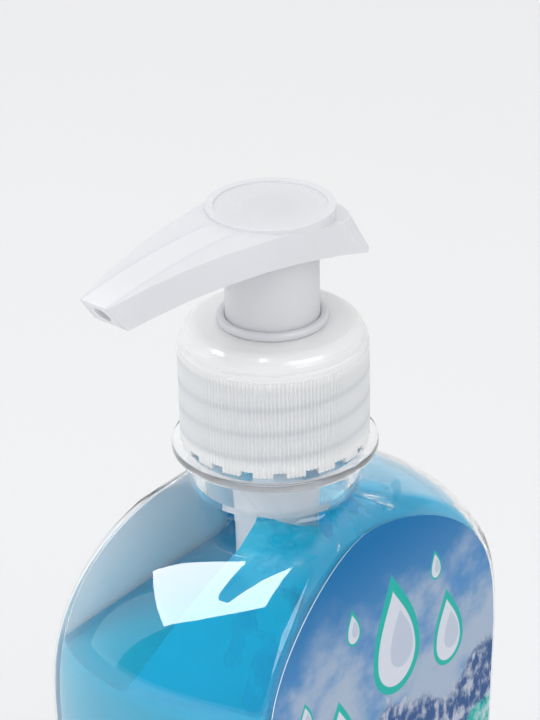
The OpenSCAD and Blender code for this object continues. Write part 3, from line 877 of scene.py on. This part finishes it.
@dataclass
class Bottle:
    """Blown shell with its threaded neck, the soap inside and the two labels."""

    form: BodyForm = BodyForm()
    thread: Thread = Thread()
    neck_r: float = 13.5
    bore_r: float = 10.95
    finish_r: float = 12.55
    ring_r: float = 16.5
    ring_z: float = 126.7
    ring_top: float = 128.2
    finish_top: float = 142.8
    lip: float = 0.4
    lip_step: float = 0.12
    bore_lip: float = 0.2
    thread_step: float = 0.2
    neck_line: float = 0.5
    fill: float = 97.0
    skin_gap: float = 0.05
    meniscus: float = 1.2
    cling: float = 23.0
    cling_angle: float = -62.0
    cling_reach: float = 0.55
    cling_fade: float = 0.35
    ragged: tuple[Point, ...] = ((0.14, 5, 1), (0.04, 13, 0))
    film_start: float = 0.3
    film_top: float = 0.8
    film_foot: float = 0.45
    film_edge: float = 0.1
    socket_r: float = 4.0
    tube_r: float = 2.9
    socket_low: float = 86.19
    tube_low: float = 4.5
    clearance: float = 0.3
    body_steps: int = 44
    crowding: float = 1.7
    film_steps: int = 12
    label_half: float = 31.2
    label_top: float = 116.2
    label_low: float = 13.0
    label_corner: float = 4.0
    film: float = 0.15

    def _heights(self, top: float) -> list[float]:
        """Heights of the body's rings up to a top, closer together towards it."""
        low, steps = self.form.base_round, self.body_steps
        return [low + (top - low) * (1 - (1 - i / steps) ** self.crowding) for i in range(steps + 1)]

    def _base(self, skin: float) -> list[list[Point]]:
        """Rings of the bottom, from the middle of the recess out to the side.

        Args:
            skin: Distance from the outer skin.

        Returns:
            The rings.
        """
        form = self.form
        r = form.base_round - skin
        rings = [form.section(form.base_round, inset, form.base_recess * share + skin)
                 for inset, share in ((19.5, 1.0), (17, 0.985), (14.5, 0.92), (12.5, 0.75), (11, 0.45),
                                      (10, 0.16), (form.stand_inset, 0.0))]
        for k in range(12):
            a = math.radians(7.5 * k)
            inset, z = skin + r * (1 - math.sin(a)), skin + r * (1 - math.cos(a))
            rings.append(form.section(form.base_round, inset, z))
        return rings

    def shell(self) -> bpy.types.Object:
        """Builds the shell as one closed skin, outside and inside."""
        form, heights = self.form, self._heights(self.form.height)
        count = len(form.section(form.base_round, 0))
        skin = Skin(count)
        for ring in self._base(0):
            skin.to(ring)
        for z in heights:
            skin.to(form.blended(z, 0, self.neck_r))
        lip, step = self.lip, self.lip_step
        for r, z in ((self.neck_r, self.ring_z - 0.6), (self.neck_r + 0.5, self.ring_z),
                     (self.ring_r - lip, self.ring_z), (self.ring_r - step, self.ring_z + step),
                     (self.ring_r, self.ring_z + lip), (self.ring_r, self.ring_top - lip),
                     (self.ring_r - step, self.ring_top - step), (self.ring_r - lip, self.ring_top),
                     (self.finish_r + lip, self.ring_top), (self.finish_r, self.ring_top + lip)):
            skin.to(circle(r, z, count))
        rise = self.finish_top - self.ring_top - 2 * lip
        steps = round(rise / self.thread_step)
        for k in range(1, steps + 1):
            z = self.ring_top + lip + rise * k / steps
            skin.to(circle(lambda a: self.finish_r + self.thread.lift(a, z), z, count))
        for r, z in ((self.finish_r - step, self.finish_top - step), (self.finish_r - lip, self.finish_top),
                     (self.bore_r + self.bore_lip, self.finish_top),
                     (self.bore_r, self.finish_top - self.bore_lip)):
            skin.to(circle(r, z, count))
        for z in reversed(heights):
            skin.to(form.blended(z, form.wall, self.bore_r))
        for ring in reversed(self._base(form.wall)):
            skin.to(ring)
        bm = skin.close()
        for face in bm.faces:
            face.material_index = int(face.calc_center_median().z > form.height + self.neck_line)
        piece = finished(bm, "bottle_shell", 40)
        return placed(piece, Body.BOTTLE, Slot.SHELL, "bottle")

    def _cling(self, angle: float) -> float:
        """How far the soap clings up the wall at an angle round the axis."""
        turned = math.cos(angle - math.radians(self.cling_angle))
        facing = smooth((turned + self.cling_reach) / self.cling_fade)
        dip = sum(depth * (1 + math.sin(waves * angle + shift)) / 2 for depth, waves, shift in self.ragged)
        return self.meniscus + self.cling * facing * (1 - dip)

    def _risen(self, inset: float, share: float) -> list[Point]:
        """Ring of the clinging film.

        Args:
            inset: Distance from the outer skin.
            share: How far up the film the ring lies, from 0 to 1.

        Returns:
            The points of the ring.
        """
        form = self.form
        ring = []
        for i, (x, y, _) in enumerate(form.section(self.fill, inset)):
            z = self.fill + self.film_start + self._cling(math.atan2(y, x)) * share
            z = min(z, form.height - self.film_top)
            ring.append(form.blended(z, inset, self.bore_r - inset + form.wall)[i])
        return ring

    def soap(self) -> bpy.types.Object:
        """Builds the soap, with a film of it clinging to one side and a well for the pump."""
        form = self.form
        inset = form.wall + self.skin_gap
        count = len(form.section(form.base_round, 0))
        skin = Skin(count)
        for ring in self._base(inset):
            skin.to(ring)
        for z in self._heights(self.fill):
            skin.to(form.section(z, inset))
        shares = [k / self.film_steps for k in range(self.film_steps + 1)]
        for share in shares:
            skin.to(self._risen(inset, share))
        for share in reversed(shares):
            skin.to(self._risen(inset + mix(self.film_foot, self.film_edge, share), share))
        for away, lift in ((0.9, 0.2), (1.6, 0.08), (2.6, 0.0)):
            skin.to(form.section(self.fill, inset + away, self.fill + lift))
        well = self.socket_r + self.clearance
        tube = self.tube_r + self.clearance
        skin.to(circle(well + 3, self.fill, count))
        step_z, foot_z = self.socket_low - self.clearance, self.tube_low - self.clearance
        for r, z in ((well + 0.8, self.fill + 0.15), (well, self.fill + 0.8), (well, step_z),
                     (tube, step_z), (tube, foot_z)):
            skin.to(circle(r, z, count))
        piece = finished(skin.close(), "soap", 50)
        return placed(piece, Body.BOTTLE, Slot.LIQUID, "soap_fill")

    def _label_width(self, z: float) -> float:
        """Half width of the label at height z."""
        form = self.form
        corner = clamp((z - self.label_low) / self.label_corner)
        arch = form.arch(z, form.ridge_z, self.label_top, form.label_arch)
        return (self.label_half * arch - form.taper(z) * form.panel_taper
                - self.label_corner * (1 - math.sqrt(1 - (1 - corner) ** 2)))

    def label(self, name: str, node: str, side: int) -> bpy.types.Object:
        """Builds a label.

        Args:
            name: Name of the new piece.
            node: Node that it stands for.
            side: 1 for the front, -1 for the back.

        Returns:
            The label.
        """
        across, up = 16, 120
        bm = bmesh.new()
        bmesh.ops.create_grid(bm, x_segments=across, y_segments=up, size=1.0)
        for v in bm.verts:
            t = clamp((v.co.y + 1) / 2)
            z = mix(self.label_low, self.label_top - 0.02, 1 - (1 - t) ** self.crowding)
            depth = self.form.depth(z) + self.skin_gap
            v.co = (v.co.x * self._label_width(z) * side, -side * depth, z)
        bmesh.ops.recalc_face_normals(bm, faces=bm.faces)
        if sum(f.normal.y for f in bm.faces) * side > 0:
            bmesh.ops.reverse_faces(bm, faces=bm.faces)
        bmesh.ops.solidify(bm, geom=bm.faces, thickness=-self.film)
        bmesh.ops.recalc_face_normals(bm, faces=bm.faces)
        for f in bm.faces:
            f.material_index = 0 if f.normal.y * side < -0.2 else 1
        return placed(finished(bm, name, 60), Body.BOTTLE, Slot.FILM, node)

    def build(self) -> None:
        """Builds and dresses the bottle, the soap and the labels."""
        shell = self.shell()
        neck = ClearPlastic("clear_neck", refraction=1.25, coat=0.5, ripple=0.02, bloom=0.12)
        for finish in (ClearPlastic(), neck):
            shell.data.materials.append(finish.make())
        self.soap().data.materials.append(SoapLiquid().make())
        front, back = LabelPrint().make(), LabelBack().make()
        for name, node, side in (("label_front", "front_label", 1), ("label_rear", "back_label", -1)):
            film = self.label(name, node, side)
            film.data.materials.append(front)
            film.data.materials.append(back)


@dataclass
class Pump:
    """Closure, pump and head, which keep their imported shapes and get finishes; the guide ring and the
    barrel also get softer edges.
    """

    edge: float = 0.22
    bore: float = 13.9
    thread: Thread = Thread(start_z=135.95, turns=1.4, height=1.05)
    thread_low: float = 131.0
    thread_top: float = 141.4
    thread_gap: float = 0.08

    def closure_thread(self) -> bpy.types.Object:
        """Builds the thread inside the closure, which runs between the turns of the neck's thread."""
        count, steps = 160, 52
        skin = Skin(count)
        for r, z in ((self.bore, self.thread_top), (self.bore, self.thread_low)):
            skin.to(circle(r, z, count))
        for k in range(steps + 1):
            z = mix(self.thread_low, self.thread_top, k / steps)
            skin.to(circle(lambda a: self.bore - self.thread_gap - self.thread.lift(a, z), z, count))
        return placed(finished(skin.close(joined=True), "closure_thread", 60), Body.CLOSURE, Slot.MILKY)

    def _dress(self, piece: bpy.types.Object, material: bpy.types.Material) -> None:
        """Gives a piece one material."""
        piece.data.materials.clear()
        piece.data.materials.append(material)

    def build(self) -> None:
        """Builds and dresses the closure, the pump and the head."""
        milky = MilkyPlastic().make()
        # The closure's finish carries painted shade and painted shadow and highlight lines on its skirt.
        ribbed = MilkyPlastic("closure_plastic", (0.985, 0.985, 0.985, 1), clearness=0.2, haze=0.16,
                              glow=0.15, thread_shade=0.28).make()
        # The head's finish carries a paler painted stripe with painted shade lines over the nozzle tube.
        moulded = MilkyPlastic("head_plastic", (0.845, 0.847, 0.87, 1), clearness=0.06, glow=0.25,
                               tube_half=2.7).make()
        seal, steel = SealPlastic().make(), BrightSteel().make()
        for name, node in (("guide_ring", "chaplet"), ("pump_barrel", "pump_housing")):
            piece = placed(softened(node, name, self.edge), Body.PUMP, Slot.MILKY, node)
            self._dress(piece, milky)
        self._dress(self.closure_thread(), ribbed)
        for node, finish in (("actuator", moulded), ("closure", ribbed), ("dip_tube", milky),
                             ("stem", milky), ("ball_cage", milky), ("gasket", seal),
                             ("piston_seal", seal), ("inlet_ball", steel), ("outlet_ball", steel),
                             ("spring", steel)):
            self._dress(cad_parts[node], finish)


def direction(heading: float, rise: float) -> Vector:
    """Unit vector at a heading from +X and a height above the level, both in degrees."""
    turn, lift = math.radians(heading), math.radians(rise)
    return Vector((math.cos(lift) * math.cos(turn), math.cos(lift) * math.sin(turn), math.sin(lift)))


@dataclass(frozen=True)
class Softbox:
    """Rectangular lamp a metre from what it lights.

    The heading counts in degrees from +X, the size is in metres, and the room's radiance is 1. A mirrored
    lamp is seen in gloss only, and any other lights matt surfaces only.
    """

    name: str
    heading: float
    rise: float
    size: tuple[float, float]
    radiance: float
    mirrored: bool = True

    def build(self, target: Vector) -> None:
        """Adds the lamp.

        Args:
            target: Point that it faces.
        """
        lamp = bpy.data.lights.new(self.name, "AREA")
        lamp.shape = "RECTANGLE"
        lamp.size, lamp.size_y = self.size
        lamp.energy = self.radiance * math.pi * self.size[0] * self.size[1]
        box = bpy.data.objects.new(self.name, lamp)
        ahead = direction(self.heading, self.rise)
        box.location = target + ahead
        box.rotation_euler = (-ahead).to_track_quat("-Z", "Y").to_euler()
        box.visible_diffuse = not self.mirrored
        box.visible_glossy = self.mirrored
        box.visible_transmission = False
        bpy.context.scene.collection.objects.link(box)


@dataclass
class Studio:
    """Pale floor, soft light and the camera."""

    floor_half: float = 4.0
    reference_z: float = 0.145
    distance: float = 0.45
    camera_heading: float = 37.713
    camera_rise: float = 26.66
    look_heading: float = 37.792
    look_drop: float = 27.057
    roll: float = -1.24
    long_side: float = 36.0
    focal_pixels: float = 2876.0
    image_height: float = 720.0
    bounces: int = 24
    shoulder_z: float = 0.11
    mirrored_room: float = 0.2
    dark_side: Point = (-0.2, 0.55)
    room_tint: Point = (0.985, 0.99, 1.0, 1)
    lamps: tuple[Softbox, ...] = (Softbox("overhead", 118, 68, (0.55, 0.70), 16),
                                  Softbox("left_wall", 126, 24, (0.42, 1.0), 1.3),
                                  Softbox("front_strip", -95, 35, (0.70, 0.70), 5),
                                  Softbox("key", -120, 45, (0.6, 0.6), 1.1, mirrored=False),
                                  Softbox("left_fill", 160, 40, (0.6, 0.6), 1.8, mirrored=False))

    def floor(self) -> None:
        """Builds the floor as a flat disc of paper."""
        bm = bmesh.new()
        bmesh.ops.create_circle(bm, cap_ends=True, segments=96, radius=self.floor_half)
        mesh = bpy.data.meshes.new("floor")
        bm.to_mesh(mesh)
        bm.free()
        ground = bpy.data.objects.new("floor", mesh)
        bpy.context.scene.collection.objects.link(ground)
        paint = Paint("floor_paper")
        mesh.materials.append(paint.show(paint.principled(Base_Color=(0.79, 0.79, 0.79, 1), Roughness=0.9,
                                                          Specular_IOR_Level=0.1)))

    def room(self) -> None:
        """Sets the even light of the room, whose camera side is darker in reflections."""
        world = bpy.data.worlds.new("room")
        world.use_nodes = True
        tree = Tree(world.node_tree)
        wall = world.node_tree.nodes["Background"]
        wall.inputs[0].default_value = self.room_tint
        path = tree.add("ShaderNodeLightPath").outputs
        azimuth = math.radians(self.camera_heading)
        way = tree.add("ShaderNodeTexCoord").outputs["Generated"]
        ahead = tree.add("ShaderNodeVectorMath", {"operation": "DOT_PRODUCT"},
                         {0: way, 1: (math.cos(azimuth), math.sin(azimuth), 0)}).outputs["Value"]
        low, high = self.dark_side
        dark = tree.add("ShaderNodeMapRange",
                        inputs={0: ahead, 1: low, 2: high, 3: 1 - self.mirrored_room, 4: 0.0}).outputs[0]
        direct = Value(tree, path["Diffuse Depth"]).math("LESS_THAN", 0.5)
        level = 1.0 - Value(tree, path["Is Glossy Ray"]) * direct * Value(tree, dark)
        world.node_tree.links.new(level.socket, wall.inputs[1])
        bpy.context.scene.world = world

    def light(self) -> None:
        """Sets the room and the softboxes."""
        self.room()
        for lamp in self.lamps:
            lamp.build(Vector((0, 0, self.shoulder_z)))

    def camera(self) -> None:
        """Sets the camera of the photograph."""
        azimuth, rise = math.radians(self.look_heading), math.radians(self.camera_rise)
        place = math.radians(self.camera_heading)
        flat = self.distance * math.cos(rise)
        eye = Vector((-flat * math.cos(place), -flat * math.sin(place),
                      self.reference_z + self.distance * math.sin(rise)))
        roll = math.radians(self.roll)
        ahead = direction(self.look_heading, -self.look_drop)
        level = Vector((math.sin(azimuth), -math.cos(azimuth), 0))
        above = level.cross(ahead)
        right = level * math.cos(roll) + above * math.sin(roll)
        up = above * math.cos(roll) - level * math.sin(roll)
        lens = bpy.data.cameras.new("camera")
        lens.sensor_width = self.long_side
        lens.lens = self.long_side * self.focal_pixels / self.image_height
        lens.clip_start, lens.clip_end = 0.01, 20.0
        camera = bpy.data.objects.new("camera", lens)
        camera.matrix_world = Matrix.Translation(eye) @ Matrix((right, up, -ahead)).transposed().to_4x4()
        bpy.context.scene.collection.objects.link(camera)
        bpy.context.scene.camera = camera

    def build(self) -> None:
        """Builds the floor, the light and the camera."""
        self.floor()
        self.light()
        self.camera()
        bpy.context.scene.view_settings.view_transform = "Standard"
        bpy.context.scene.cycles.max_bounces = self.bounces
        bpy.context.scene.cycles.transmission_bounces = self.bounces


def main() -> None:
    """Builds the pieces in order."""
    logging.basicConfig(level=logging.INFO)
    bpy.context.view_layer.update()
    for part in (Bottle(), Pump(), Studio()):
        part.build()
        LOG.info("%s built", type(part).__name__)


if __name__ == "__main__":
    main()
